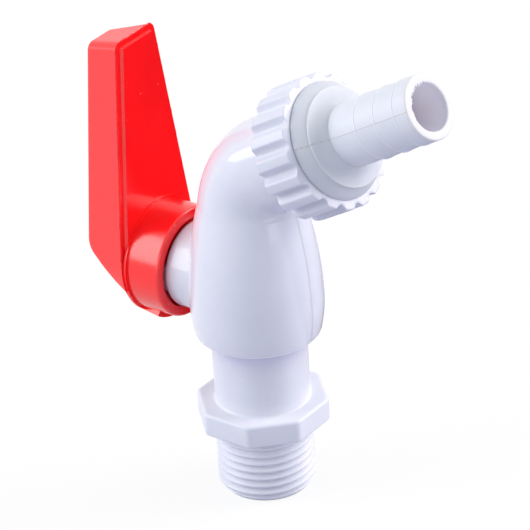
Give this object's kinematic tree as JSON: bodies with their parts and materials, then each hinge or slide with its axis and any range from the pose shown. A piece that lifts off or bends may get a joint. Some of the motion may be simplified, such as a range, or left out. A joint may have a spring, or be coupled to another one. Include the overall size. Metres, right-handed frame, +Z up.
{
  "type": "plastic lever bib tap",
  "caption": "Moulded plastic quarter-turn lever tap with a screwed inlet, a raised spout, a fluted union nut and a barbed hose tail.",
  "frame": {"origin": "centre of the inlet thread's end face", "axes": "+Z up the inlet axis, +X the way the spout leans, the lever on the -X side"},
  "size_m": [0.0859, 0.0288, 0.1064],
  "materials": {
    "body": "smooth moulded white",
    "inlet_adapter": "matte moulded white",
    "union_nut": "smooth moulded white",
    "hose_tail": "slightly greyer moulded white",
    "lever_handle": "bright red moulded",
    "handle_screw": "plated steel",
    "ball": "polished white",
    "inlet_seat": "waxy white",
    "outlet_seat": "waxy white",
    "stem": "moulded white",
    "stem_o_ring_inner": "black rubber",
    "stem_o_ring_outer": "black rubber",
    "adapter_o_ring": "black rubber",
    "stem_thrust_washer": "waxy white",
    "tail_washer": "black rubber"
  },
  "bodies": {
    "tap_body": {"body": "body", "inlet_adapter": "inlet_adapter", "adapter_o_ring": "adapter_o_ring", "inlet_seat": "inlet_seat", "outlet_seat": "outlet_seat"},
    "lever": {"lever_handle": "lever_handle", "handle_screw": "handle_screw", "stem": "stem", "stem_o_ring_inner": "stem_o_ring_inner", "stem_o_ring_outer": "stem_o_ring_outer", "stem_thrust_washer": "stem_thrust_washer", "ball": "ball"},
    "tail": {"hose_tail": "hose_tail", "tail_washer": "tail_washer"},
    "nut": {"union_nut": "union_nut"}
  },
  "joints": [
    {"name": "lever_turn", "type": "hinge", "parent": "tap_body", "child": "lever", "pos_m": [-0.02, 0, 0.04846], "axis": [1, 0, 0], "range_deg": [0, 90]},
    {"name": "tail_slide", "type": "slide", "parent": "tap_body", "child": "tail", "axis": [0.866, 0, 0.5], "range_m": [0, 0.005]},
    {"name": "nut_turn", "type": "hinge", "parent": "tail", "child": "nut", "pos_m": [0.01732, 0, 0.0843], "axis": [0.866, 0, 0.5], "range_deg": [0, 990]}
  ],
  "couplings": [
    {"joint": "tail_slide", "follows": "nut_turn", "m_per_rad": 0.00028871}
  ]
}
